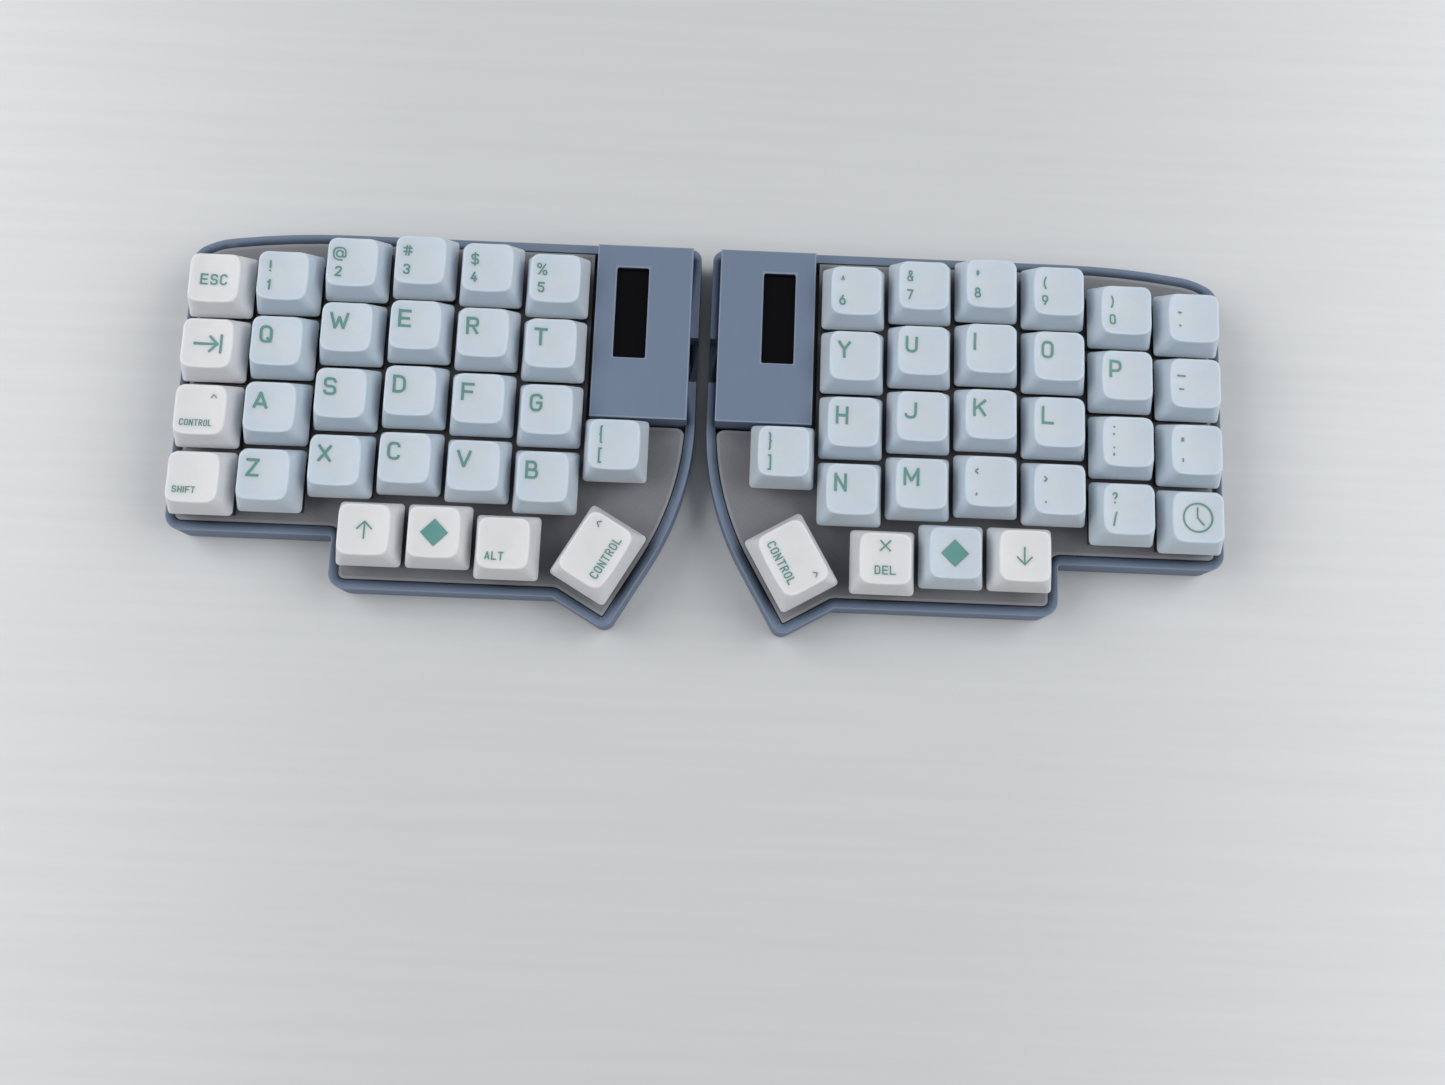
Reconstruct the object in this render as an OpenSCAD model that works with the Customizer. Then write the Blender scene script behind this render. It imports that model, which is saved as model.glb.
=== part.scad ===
// Split keyboard of two mirrored halves, each with 29 keys in staggered columns.
// Millimetres. X runs to the right, Y away from the typist, Z up from the desk.

/* [Key layout] */
// Distance between the centres of neighbouring keys
key_pitch = 19.05; // [18.5:0.05:20]
// Shift of the little-finger column away from the typist
little_rise = 1.5; // [0:0.25:4]
// Shift of the ring-finger column away from the typist
ring_rise = 6.3; // [4:0.1:7.5]
// Shift of the middle-finger column away from the typist
middle_rise = 7.75; // [6.5:0.05:9]
// Shift of the index-finger column away from the typist
index_rise = 6.35; // [4:0.05:7.5]
// Shift of the reach column beside the screen away from the typist
reach_rise = 4; // [2:0.1:6]
// Bracket key below the back row of the outer column, in key pitches
bracket_drop = 2.27; // [2.2:0.01:2.35]
// Straight thumb keys below the back row of the outer column, in key pitches
thumb_drop = 3.66; // [3.6:0.01:3.8]
// Further drop of the innermost straight thumb key, in key pitches
step_drop = 0.12; // [0:0.01:0.25]
// Long thumb key across from the outer column, in key pitches
long_reach = 5.82; // [5.75:0.01:5.95]
// Long thumb key below the back row of the outer column, in key pitches
long_drop = 3.83; // [3.78:0.01:3.9]
// Turn of the long thumb key
long_turn = 30; // [25:1:35]
// Air between the rims of the two halves
half_gap = 3.4; // [1:0.2:30]

/* [Keycaps] */
// Air between neighbouring caps
cap_gap = 1; // [0.8:0.05:1.6]
// Length of the long thumb cap, in key pitches
long_units = 1.25; // [1:0.25:1.25]
// Height of a cap at the middle of a top edge
cap_height = 8.2; // [7.6:0.1:9]
// Lean of each side from the skirt to the top edge
cap_lean = 2; // [1.4:0.1:2.4]
// Depth of the dish below the middle of a top edge
dish_depth = 0.9; // [0.3:0.1:1.1]
// Radius of the dished top
dish_radius = 28; // [24:1:60]
// Rounding of the upright corners at the skirt
skirt_round = 1.2; // [0.8:0.1:1.6]
// Rounding of the upright corners at the top
top_round = 2.6; // [2:0.1:4.4]
// Wall of a cap
cap_wall = 1.4; // [1.2:0.1:1.6]
// Least roof of a cap below its dish
cap_roof = 1.5; // [1.2:0.1:2]
// Post that takes the stem
post_dia = 5.5; // [5.2:0.1:5.6]
// Skirt below the end of the post
post_lift = 0.6; // [0.4:0.1:1]

/* [Switches] */
// Travel of a key
travel = 4; // [3:0.1:4]
// Switch body below the plate
body_w = 13.8; // [13.6:0.05:14]
// Flange of the switch that rests on the plate
flange_w = 15.6; // [15.2:0.1:15.8]
// Thickness of the flange
flange_t = 1; // [0.7:0.1:1]
// Switch housing above the plate
housing_h = 6.6; // [6.4:0.1:6.8]
// Width of the housing at its top
housing_top_w = 10.6; // [10.2:0.1:11]
// Depth of the housing at its top
housing_top_d = 11.4; // [11:0.1:11.8]
// Plate top above the circuit board
switch_seat = 5; // [4.8:0.1:5.4]
// Skirt of a cap above the plate
cap_lift = 5.5; // [5.4:0.1:6.2]
// Width of the stem
stem_w = 7; // [6.8:0.1:7.2]
// Depth of the stem
stem_d = 5.6; // [5.4:0.1:5.8]
// Height of the block of the stem
stem_h = 3.5; // [3:0.1:3.6]
// Height of the cross on the stem
cross_h = 3.9; // [3.4:0.1:4]
// Length of each arm pair of the cross
cross_l = 4; // [3.8:0.1:4.1]
// Thickness of the cross
cross_t = 1.2; // [1.1:0.05:1.3]
// Locating post below the switch
locator_dia = 3.9; // [3.6:0.1:4]
// Contact pins below the switch
pin_dia = 1.2; // [0.8:0.1:1.4]
// Length of the post and the pins below the switch
pin_length = 3.3; // [3:0.1:3.6]

/* [Case] */
// Wall of the case
wall = 2.6; // [2.2:0.1:3.2]
// Floor of the case
floor_t = 1.6; // [1.5:0.1:2.4]
// Rim of the case above the plate
rim_rise = 0.2; // [0:0.1:1]
// Slope along the outer edges of the case
rim_slope = 0.3; // [0.2:0.1:0.8]
// Inside of the wall from the centres of the outer and back keys
side_margin = 9.4; // [9.2:0.1:10.5]
// Inside of the wall from the centres of the front keys
front_margin = 9.85; // [9.4:0.05:11]
// Case beyond the end of the long thumb key
tip_margin = 1.8; // [1:0.1:3]
// Sweep of the curved inner side of the case
sweep_radius = 80; // [60:1:82]
// Width of the notch in front of the link jack
jack_notch_w = 13.2; // [8:0.2:14]
// Width of the notch behind the USB port
usb_notch_w = 12.4; // [11:0.2:14]

/* [Plate and board] */
// Plate that holds the switches
plate_t = 1.5; // [1.3:0.1:1.6]
// Circuit board
board_t = 1.6; // [1:0.1:2]
// Bosses around the screws
boss_dia = 4.4; // [4:0.1:4.8]

/* [Screen and controller] */
// Wall of the screen cover
cover_wall = 1.6; // [1.2:0.1:2]
// Screen cover above the plate
cover_rise = 7; // [6.8:0.1:8]
// Slope round the top of the screen cover
cover_bevel = 0.4; // [0.3:0.1:1.2]
// Lid of the screen cover over the rim of the case
cover_lip = 0.3; // [0.2:0.1:1]
// Width of the screen window
window_w = 9.2; // [8:0.1:10]
// Length of the screen window
window_l = 26.8; // [22:0.2:27]
// Rounding of the corners of the screen window
window_round = 0.6; // [0.3:0.1:1.2]
// Middle of the screen window from the keys beside it
window_side = 11.8; // [11.6:0.1:12.6]
// Middle of the screen window from the back wall
window_back = 19.8; // [19.5:0.1:21]
// Controller board
controller_w = 18; // [17.6:0.1:18.4]
// Length of the controller board
controller_l = 23.5; // [22:0.5:26]
// Header strips below the controller board
strip_h = 2.5; // [2.4:0.1:2.6]
// Width of the USB port
usb_w = 8.9; // [8.7:0.1:9.2]
// Height of the USB port
usb_h = 3.2; // [3:0.1:3.2]
// Wall of the USB port
usb_wall = 0.3; // [0.25:0.05:0.4]
// Mouth of the USB port from the outside of the back wall
usb_depth = 4.3; // [4.2:0.1:6]
// Bore of the link jack
jack_bore = 3.6; // [3.55:0.05:3.8]
// Width of the link jack
jack_w = 6; // [5.6:0.1:6]
// Height of the link jack
jack_h = 5; // [4.8:0.1:5]
// Length of the link jack
jack_l = 12; // [11:0.1:12.5]
// Middle of the link jack from the inside of the back wall
jack_back = 34.35; // [33:0.05:36]

/* [Screws and feet] */
// Thread of the screws
screw_dia = 2; // [1.6:0.1:2.2]
// Head of the screws
head_dia = 3.6; // [3.2:0.1:3.8]
// Height of the screw heads
head_h = 1.2; // [1:0.1:1.4]
// Rubber feet
foot_dia = 8; // [6:0.5:8.5]
// Thickness of the rubber feet
foot_t = 2; // [1.6:0.1:3]
// Depth of the feet in the floor
foot_sunk = 0.8; // [0.5:0.1:0.8]

/* [Clearances] */
// Air beside a piece that sits in a pocket
pocket_air = 0.3; // [0.2:0.05:0.5]
// Air beside a sliding stem
slide_air = 0.15; // [0.1:0.05:0.2]
// Air round a piece that is pushed into a hole
push_air = 0.1; // [0.05:0.05:0.15]
// Air round the pins in the circuit board
pin_air = 0.2; // [0.1:0.05:0.3]
// Air below the pins
floor_air = 0.5; // [0.3:0.1:1]
// Air between pieces of one unit that sit on each other
seat_air = 0.05; // [0.02:0.01:0.1]

/* [Hidden] */
$fn = 40;
bite = 0.5;
rows = 4;
rises = [0, little_rise, ring_rise, middle_rise, index_rise, reach_rise];
outer_columns = 6;
cap_w = key_pitch - cap_gap;
long_d = long_units * key_pitch - cap_gap;

// Levels above the desk
case_z = foot_t - foot_sunk;
floor_z = case_z + floor_t;
board_top_z = floor_z + floor_air + pin_length;
board_z = board_top_z - board_t;
plate_top_z = board_top_z + switch_seat;
plate_z = plate_top_z - plate_t;
rim_z = plate_top_z + rim_rise;
cap_z = plate_top_z + cap_lift;
cover_top_z = plate_top_z + cover_rise;
stem_top = cap_lift + post_lift - seat_air;
bore_floor = stem_top - stem_h - travel - floor_air;

// Where the keys of a half sit: [x, y, turn, cap length]
function grid_key(c, r) = [c * key_pitch, rises[c] - r * key_pitch, 0, cap_w];
function thumb_key(i, drop) = [(i + 2.5) * key_pitch, -drop * key_pitch, 0, cap_w];
bracket_key = [outer_columns * key_pitch, -bracket_drop * key_pitch, 0, cap_w];
thumb_keys = [thumb_key(0, thumb_drop), thumb_key(1, thumb_drop), thumb_key(2, thumb_drop + step_drop)];
long_key = [long_reach * key_pitch, -long_drop * key_pitch, -long_turn, long_d];
grid_keys = [for (c = [0:outer_columns - 1], r = [0:rows - 1]) grid_key(c, r)];
all_keys = concat(grid_keys, [bracket_key], thumb_keys, [long_key]);
back_keys = [for (c = [0:outer_columns - 1]) grid_key(c, 0)];
outer_keys = [for (r = [1:rows - 1]) grid_key(0, r)];

// Inside faces of the case wall
inner_left = -side_margin;
inner_right = (outer_columns + 1) * key_pitch;
inner_back = max(rises) + side_margin;
inner_front = -(rows - 1) * key_pitch - front_margin;
inner_step = thumb_keys[0].x - front_margin;
inner_thumb = thumb_keys[2].y - front_margin;
along = [sin(long_turn), cos(long_turn)];
aside = [cos(long_turn), -sin(long_turn)];
long_xy = [long_key.x, long_key.y];
tip_end = long_units * key_pitch / 2 + tip_margin;
tip_xy = long_xy - along * tip_end + aside * front_margin;
tip_start_x = tip_xy.x - (inner_thumb - tip_xy.y) / tan(long_turn);
sweep_y = tip_xy.y + (inner_right - tip_xy.x) / tan(long_turn);
shoulder_x = 0.88 * key_pitch;
shoulder_slope = 8;
crown_x = -0.22 * key_pitch;
crown_slope = 28;
crown_y = inner_back - (shoulder_x - crown_x) * tan(shoulder_slope);
temple_y = crown_y - (crown_x - inner_left) * tan(crown_slope);

// Corners of the space inside the wall: [x, y, rounding]
room_corners = [
  [inner_left, inner_front, 2],
  [inner_step, inner_front, wall + 0.8],
  [inner_step, inner_thumb, 2],
  [tip_start_x, inner_thumb, wall + 1.4],
  [tip_xy.x, tip_xy.y, 0.6],
  [inner_right, sweep_y, sweep_radius],
  [inner_right, inner_back, 0.6],
  [shoulder_x, inner_back, 225],
  [crown_x, crown_y, 18],
  [inner_left, temple_y, 3]
];

// Screen cover
cover_x0 = (outer_columns - 0.5) * key_pitch + 1.5;
cover_x1 = inner_right - pocket_air;
cover_y0 = bracket_key.y + key_pitch / 2 + 0.1;
cover_y1 = inner_back - pocket_air;
bay_x = (outer_columns - 0.5) * key_pitch + 0.25 - pocket_air;
bay_y = bracket_key.y + key_pitch / 2 - 0.45 - pocket_air;
bay_round = 2.4;
window_x = (outer_columns - 1) * key_pitch + key_pitch / 2 + window_side;
window_y = inner_back - window_back;
peg_dia = boss_dia / 2;
peg_in = cover_wall + 1.7;
peg_spots = [[cover_x0 + peg_in, cover_y0 + peg_in], [cover_x1 - peg_in, cover_y0 + peg_in]];
window_slope = 0.4;
lid_w = inner_right + cover_lip - cover_x0;
lid_l = inner_back + cover_lip - cover_y0;
lid_z = rim_z + seat_air;

// Controller, screen module and link jack
controller_x = (cover_x0 + cover_x1) / 2;
usb_out = 1.4;
controller_y1 = inner_back + wall - usb_depth - usb_out;
controller_z = board_top_z + strip_h + seat_air;
controller_t = 1.6;
strip_w = 2.5;
strip_in = 0.5;
strip_l = controller_l - 2 * strip_in;
strip_y = controller_y1 - strip_in - strip_l;
strip_pitch = 15.24;
usb_z = controller_z + controller_t + seat_air;
usb_l = 7.4;
usb_round = usb_h / 2 - 0.05;
plug_h = 6.4;
plug_z = usb_z + usb_h / 2 - plug_h / 2;
tongue_w = 6.7;
tongue_t = 0.7;
tongue_in = 0.6;
jack_out = 0.6;
jack_x1 = inner_right + jack_out;
jack_y = inner_back - jack_back;
jack_z = board_top_z + jack_h / 2;
jack_nose = jack_h - pin_air;
jack_nose_l = 2;
notch_y0 = jack_y - jack_w / 2 - pocket_air;
screen_w = 12;
screen_end = 0.4;
glass_in = 0.3;
glass_end = 2;
glass_t = 1.4;
glass_l = window_l + 2 * glass_end + 1.2;
screen_t = 1.2;
header_l = 10.2;
header_y = jack_y - jack_w / 2 - pocket_air - strip_w;
glass_z = cover_top_z - cover_wall - push_air - glass_t;
screen_z = glass_z - seat_air - screen_t;
screen_y0 = header_y - screen_end;
screen_y1 = window_y + window_l / 2 + glass_end + 2 * glass_in;

// Screws and feet
screw_spots = [
  [0.5 * key_pitch, -0.5 * key_pitch],
  [0.5 * key_pitch, -2.5 * key_pitch],
  [3.5 * key_pitch, 0],
  [3.5 * key_pitch, -2.6 * key_pitch],
  [5.1 * key_pitch, -3.66 * key_pitch],
  [6.68 * key_pitch, -2.37 * key_pitch]
];
sink_h = head_h + push_air;
socket_dia = 1.5;
socket_h = 0.7;
screw_cover = 0.6;
screw_top_z = plate_z - screw_cover;
foot_in = 1.2;
foot_out = foot_dia / 2 + foot_in;
tip_foot = tip_xy + along * foot_out - aside * (foot_out - 2);
foot_spots = [
  [inner_left + foot_out, temple_y - foot_out],
  [inner_left + foot_out, inner_front + foot_out],
  [inner_step + foot_out, inner_thumb + foot_out],
  [tip_foot.x, tip_foot.y],
  [inner_right - foot_out, inner_back - foot_out]
];

// Middle of the whole keyboard
middle_x = inner_right + wall + half_gap / 2;
tip_round = wall + 0.6;
tip_low = tip_xy - (along - aside) * wall + (along - aside) * tip_round - [0, tip_round];
middle_y = (inner_back + wall + tip_low.y) / 2;

// Corner lists, run anticlockwise: each corner is moved in by d and then rounded
function flat(c) = [c[0], c[1]];
function unit(v) = v / norm(v);
function side_of(v) = [-v[1], v[0]];
function before(list, i) = list[(i + len(list) - 1) % len(list)];
function after(list, i) = list[(i + 1) % len(list)];
function moved(list, i, d) =
  let (a = unit(flat(list[i]) - flat(before(list, i))))
  let (b = unit(flat(after(list, i)) - flat(list[i])))
  let (p = flat(list[i]) + d * (side_of(a) + side_of(b)) / (1 + a * b))
  [p[0], p[1], max(0.4, list[i][2] - sign(cross(a, b)) * d)];
function inset(list, d) = [for (i = [0:len(list) - 1]) moved(list, i, d)];
function arc_at(list, i) =
  let (p = flat(list[i]))
  let (r = list[i][2])
  let (a = unit(p - flat(before(list, i))))
  let (b = unit(flat(after(list, i)) - p))
  let (bend = acos(a * b))
  let (hand = sign(cross(a, b)))
  let (start = p - a * r * tan(bend / 2))
  let (centre = start + side_of(a) * r * hand)
  let (steps = max(2, ceil(bend / (r > 30 ? 2 : 7.5) - 0.1)))
  [for (k = [0:steps]) turned(start - centre, hand * bend * k / steps) + centre];
function turned(v, t) = [v[0] * cos(t) - v[1] * sin(t), v[0] * sin(t) + v[1] * cos(t)];
function rounded(list) = [for (i = [0:len(list) - 1]) each arc_at(list, i)];

// Placing
module left() {
  translate([-middle_x, -middle_y, 0]) children();
}

module right() {
  mirror([1, 0, 0]) left() children();
}

module at_key(k, z) {
  translate([k[0], k[1], z]) rotate(k[2]) children();
}

// Upright walls from a profile in width and height
module profile(points, length) {
  rotate([90, 0, 0]) linear_extrude(length, center = true) polygon(points);
}

// Block with leaning flat sides: half sizes low and high, between two heights
module leaning(low_x, high_x, low_y, high_y, z0, z1) {
  intersection() {
    profile([[-low_x, z0], [low_x, z0], [high_x, z1], [-high_x, z1]], 3 * low_y);
    rotate(90) profile([[-low_y, z0], [low_y, z0], [high_y, z1], [-high_y, z1]], 3 * low_x);
  }
}

// Wall of the case all round, with sloping outer edges at its bottom and top
module wall_ring(z0, z1) {
  wide = rounded(inset(room_corners, -wall));
  thin = rounded(inset(room_corners, rim_slope - wall));
  room = rounded(room_corners);
  n = len(room);
  points = concat(
    [for (p = thin) [p[0], p[1], z0]],
    [for (p = wide) [p[0], p[1], z0 + rim_slope]],
    [for (p = wide) [p[0], p[1], z1 - rim_slope]],
    [for (p = thin) [p[0], p[1], z1]],
    [for (p = room) [p[0], p[1], z1]],
    [for (p = room) [p[0], p[1], z0]]
  );
  sides = [for (k = [0:5], i = [0:n - 1]) [
    k * n + i,
    (k + 1) % 6 * n + i,
    (k + 1) % 6 * n + (i + 1) % n,
    k * n + (i + 1) % n
  ]];
  polyhedron(points, sides);
}

// Flat body of a corner list
module slab(corners, z0, z1) {
  translate([0, 0, z0]) linear_extrude(z1 - z0) polygon(rounded(corners));
}

// Keycap, with its skirt at z = 0
dish_low = cap_height - dish_depth;
lean = cap_lean / cap_height;
round_rise = (top_round - skirt_round) / cap_height;
cone_z = -skirt_round / round_rise;
cone_lean = round_rise + lean;
cone_axis = [-cone_lean, -cone_lean, 1];
cone_half = 1.02 * asin(round_rise / norm([1, lean]) / norm(cone_axis));
function half_at(size, z) = size / 2 - lean * z;
corner_reach = norm([half_at(cap_w, cap_height), half_at(long_d, cap_height)]);
blank_h = dish_low + dish_radius - sqrt(pow(dish_radius, 2) - pow(corner_reach, 2));

module cap_block(d, z0, z1, thin) {
  low = [half_at(cap_w, z0) - thin, half_at(d, z0) - thin];
  high = [half_at(cap_w, z1) - thin, half_at(d, z1) - thin];
  leaning(low[0], high[0], low[1], high[1], z0, z1);
}

// What is cut from one upright corner: the ridge outside a cone that widens towards the top
module corner_cut(d) {
  z0 = -1;
  z1 = blank_h + 1;
  beyond = cap_height;
  reach = 3 * cap_w;
  edge = [[-cone_lean * (z0 - cone_z), z0], [beyond, z0], [beyond, z1], [-cone_lean * (z1 - cone_z), z1]];
  length = (z1 - cone_z) * norm(cone_axis);
  translate([half_at(cap_w, cone_z), half_at(d, cone_z), 0]) difference() {
    intersection() {
      profile(edge, reach);
      rotate(90) profile(edge, reach);
    }
    translate([0, 0, cone_z]) rotate([0, acos(1 / norm(cone_axis)), 225])
      cylinder(h = length, r1 = 0, r2 = length * tan(cone_half));
  }
}

module cross_bars(length, thick, z0, z1) {
  for (a = [0, 90]) rotate(a) translate([-length / 2, -thick / 2, z0]) cube([length, thick, z1 - z0]);
}

module keycap(d) {
  difference() {
    cap_block(d, 0, blank_h, 0);
    for (mx = [0, 1], my = [0, 1]) mirror([mx, 0, 0]) mirror([0, my, 0]) corner_cut(d);
    translate([0, 0, dish_low + dish_radius]) sphere(dish_radius, $fn = 96);
    difference() {
      cap_block(d, -1, dish_low - cap_roof, cap_wall);
      translate([0, 0, post_lift]) cylinder(d = post_dia, h = cap_height);
    }
    slot_top = post_lift + cross_h + push_air;
    cross_bars(cross_l + 2 * push_air, cross_t + 2 * push_air, post_lift - bite, slot_top);
  }
}

// Stem, with the plate top at z = 0
module stem() {
  translate([-stem_w / 2, -stem_d / 2, stem_top - stem_h]) cube([stem_w, stem_d, stem_h]);
  cross_bars(cross_l, cross_t, stem_top - bite, stem_top + cross_h);
}

// One key: cap and stem
module key(k) {
  at_key(k, cap_z) keycap(k[3]);
  at_key(k, plate_top_z) stem();
}

// Switch housing, with the plate top at z = 0
pin_grid = 1.27;
pin_spots = [[-3 * pin_grid, 2 * pin_grid], [2 * pin_grid, 4 * pin_grid]];
shoulder_in = 0.6;

module housing() {
  difference() {
    union() {
      translate([-body_w / 2, -body_w / 2, -switch_seat]) cube([body_w, body_w, switch_seat + bite]);
      translate([-flange_w / 2, -flange_w / 2, 0]) cube([flange_w, flange_w, flange_t]);
      low = flange_w / 2 - shoulder_in;
      leaning(low, housing_top_w / 2, low, housing_top_d / 2, flange_t - bite, housing_h);
      translate([0, 0, -switch_seat - pin_length]) cylinder(d = locator_dia, h = pin_length + bite);
      for (p = pin_spots) translate([p[0], p[1], -switch_seat - pin_length])
        cylinder(d = pin_dia, h = pin_length + bite, $fn = 20);
    }
    bore_w = stem_w + 2 * slide_air;
    bore_d = stem_d + 2 * slide_air;
    translate([-bore_w / 2, -bore_d / 2, bore_floor]) cube([bore_w, bore_d, housing_h - bore_floor + bite]);
  }
}

module housings() {
  for (k = all_keys) at_key(k, plate_top_z) housing();
}

// Case: floor, wall, bosses, notches
module case_shell() {
  difference() {
    union() {
      wall_ring(case_z, rim_z);
      slab(inset(room_corners, -wall / 2), case_z, floor_z);
      for (p = concat(screw_spots, peg_spots)) translate([p[0], p[1], floor_z - bite])
        cylinder(d = boss_dia, h = board_z - floor_z + bite);
    }
    for (p = screw_spots) translate([p[0], p[1], 0]) {
      cylinder(d = screw_dia + 2 * push_air, h = board_top_z);
      cylinder(d = head_dia + 2 * pocket_air, h = case_z + sink_h);
    }
    for (p = peg_spots) translate([p[0], p[1], floor_z])
      cylinder(d = peg_dia + 2 * push_air, h = board_top_z);
    for (p = foot_spots) translate([p[0], p[1], 0])
      cylinder(d = foot_dia + 2 * push_air, h = case_z + foot_sunk);
    translate([inner_right - bite, notch_y0, board_z]) cube([wall + 1, jack_notch_w, rim_z]);
    translate([controller_x - usb_notch_w / 2, inner_back - bite, plug_z])
      cube([usb_notch_w, wall + 1, rim_z]);
  }
}

// Switch plate with a hole for each switch and a boss at each screw
module plate() {
  difference() {
    union() {
      slab(inset(room_corners, pocket_air), plate_z, plate_top_z);
      for (p = screw_spots) translate([p[0], p[1], board_top_z])
        cylinder(d = boss_dia, h = plate_z - board_top_z + bite);
    }
    translate([bay_x, bay_y, plate_z - 1])
      cube([inner_right - bay_x + 1, inner_back - bay_y + 1, plate_t + 2]);
    translate([inner_right - pocket_air, bay_y, plate_z - 1]) difference() {
      translate([-bay_round, -bay_round, 0]) cube([bay_round + 1, bay_round + 1, plate_t + 2]);
      translate([-bay_round, -bay_round, -1]) cylinder(r = bay_round, h = plate_t + 4);
    }
    hole = body_w + 2 * push_air;
    for (k = all_keys) at_key(k, plate_z - 1) translate([-hole / 2, -hole / 2, 0])
      cube([hole, hole, plate_t + 2]);
    for (p = screw_spots) translate([p[0], p[1], board_top_z - 1])
      cylinder(d = screw_dia + 2 * push_air, h = screw_top_z + pocket_air - board_top_z + 1);
  }
}

module board() {
  difference() {
    slab(inset(room_corners, pocket_air), board_z, board_top_z);
    for (k = all_keys) at_key(k, board_z - 1) {
      cylinder(d = locator_dia + 2 * pin_air, h = board_t + 2);
      for (p = pin_spots) translate([p[0], p[1], 0])
        cylinder(d = pin_dia + 2 * pin_air, h = board_t + 2, $fn = 20);
    }
    for (p = screw_spots) translate([p[0], p[1], board_z - 1])
      cylinder(d = screw_dia + 2 * push_air, h = board_t + 2);
    for (p = peg_spots) translate([p[0], p[1], board_z - 1])
      cylinder(d = peg_dia + 2 * push_air, h = board_t + 2);
  }
}

// Flat rectangle with rounded corners
module round_square(w, l, r) {
  square([w - 2 * r, l], center = true);
  square([w, l - 2 * r], center = true);
  for (mx = [-1, 1], my = [-1, 1]) translate([mx * (w / 2 - r), my * (l / 2 - r)]) circle(r);
}

// Screen cover: walls inside the case, a lid over its rim, a window, pegs and gaps for the ports
module cover_box(w, l, thin, z0, z1) {
  translate([cover_x0 + thin, cover_y0 + thin, z0]) cube([w - 2 * thin, l - 2 * thin, z1 - z0]);
}

module cover() {
  w = cover_x1 - cover_x0;
  l = cover_y1 - cover_y0;
  slope_z = cover_top_z - cover_bevel;
  difference() {
    union() {
      difference() {
        union() {
          cover_box(w, l, 0, board_top_z, lid_z + bite);
          cover_box(lid_w, lid_l, 0, lid_z, slope_z);
          translate([cover_x0 + lid_w / 2, cover_y0 + lid_l / 2, 0]) leaning(
            lid_w / 2, lid_w / 2 - cover_bevel, lid_l / 2, lid_l / 2 - cover_bevel, slope_z, cover_top_z);
        }
        cover_box(w, l, cover_wall, board_top_z - 1, cover_top_z - cover_wall);
      }
      for (p = peg_spots) translate([p[0], p[1], board_top_z]) {
        cylinder(d = boss_dia, h = cover_top_z - cover_wall - board_top_z + bite);
        translate([0, 0, floor_z + floor_air - board_top_z]) cylinder(d = peg_dia, h = board_top_z - floor_z);
      }
    }
    translate([window_x, window_y, cover_top_z]) {
      translate([0, 0, -2 * cover_wall]) linear_extrude(2 * cover_wall + 1)
        round_square(window_w, window_l, window_round);
      leaning(
        window_w / 2 - window_slope, window_w / 2 + 2 * window_slope,
        window_l / 2 - window_slope, window_l / 2 + 2 * window_slope,
        -2 * window_slope, window_slope);
    }
    translate([cover_x1 - 2 * cover_wall, notch_y0, board_top_z - 1])
      cube([3 * cover_wall, jack_notch_w, jack_h + 1 + pocket_air]);
    translate([controller_x - usb_notch_w / 2, cover_y1 - 2 * cover_wall, board_top_z - 1])
      cube([usb_notch_w, 3 * cover_wall, plug_z + plug_h - board_top_z + 1]);
  }
}

// Controller board on two header strips, with the USB port on top
module usb_form(w, h, r, length) {
  rotate([90, 0, 0]) linear_extrude(length) round_square(w, h, r);
}

module controller() {
  translate([controller_x - controller_w / 2, controller_y1 - controller_l, controller_z])
    cube([controller_w, controller_l, controller_t]);
  for (s = [-1, 1])
    translate([controller_x + s * strip_pitch / 2 - strip_w / 2, strip_y, board_top_z])
      cube([strip_w, strip_l, strip_h]);
  translate([controller_x, controller_y1 + usb_out, usb_z + usb_h / 2]) {
    difference() {
      usb_form(usb_w, usb_h, usb_round, usb_l);
      translate([0, 1, 0])
        usb_form(usb_w - 2 * usb_wall, usb_h - 2 * usb_wall, usb_round - usb_wall, usb_l);
    }
    translate([-tongue_w / 2, -usb_l + bite, -tongue_t / 2])
      cube([tongue_w, usb_l - bite - tongue_in, tongue_t]);
  }
}

// Screen module on its header
module screen() {
  translate([window_x - screen_w / 2, screen_y0, screen_z])
    cube([screen_w, screen_y1 - screen_y0, screen_t]);
  translate([window_x - screen_w / 2 + glass_in, screen_y1 - 2 * glass_in - glass_l, glass_z])
    cube([screen_w - 2 * glass_in, glass_l, glass_t]);
  translate([window_x - header_l / 2, header_y, board_top_z])
    cube([header_l, strip_w, screen_z - seat_air - board_top_z]);
}

// Link jack with its bore towards the other half
module jack() {
  difference() {
    union() {
      translate([jack_x1 - jack_nose_l - jack_l, jack_y - jack_w / 2, board_top_z])
        cube([jack_l, jack_w, jack_h]);
      translate([jack_x1 - jack_nose_l - bite, jack_y, jack_z]) rotate([0, 90, 0])
        cylinder(d = jack_nose, h = jack_nose_l + bite);
    }
    translate([jack_x1 - jack_l, jack_y, jack_z]) rotate([0, 90, 0]) cylinder(d = jack_bore, h = jack_l + 1);
  }
}

module screw() {
  difference() {
    translate([0, 0, case_z + sink_h - head_h]) cylinder(d = head_dia, h = head_h);
    translate([0, 0, case_z - 1]) cylinder(d = socket_dia, h = 1 + sink_h - head_h + socket_h, $fn = 6);
  }
  shank_z = case_z + sink_h - pin_air;
  translate([0, 0, shank_z]) cylinder(d = screw_dia, h = screw_top_z - shank_z);
}

module screws() {
  for (p = screw_spots) translate([p[0], p[1], 0]) screw();
}

module feet() {
  for (p = foot_spots) translate([p[0], p[1], 0]) cylinder(d = foot_dia, h = foot_t);
}

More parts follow.
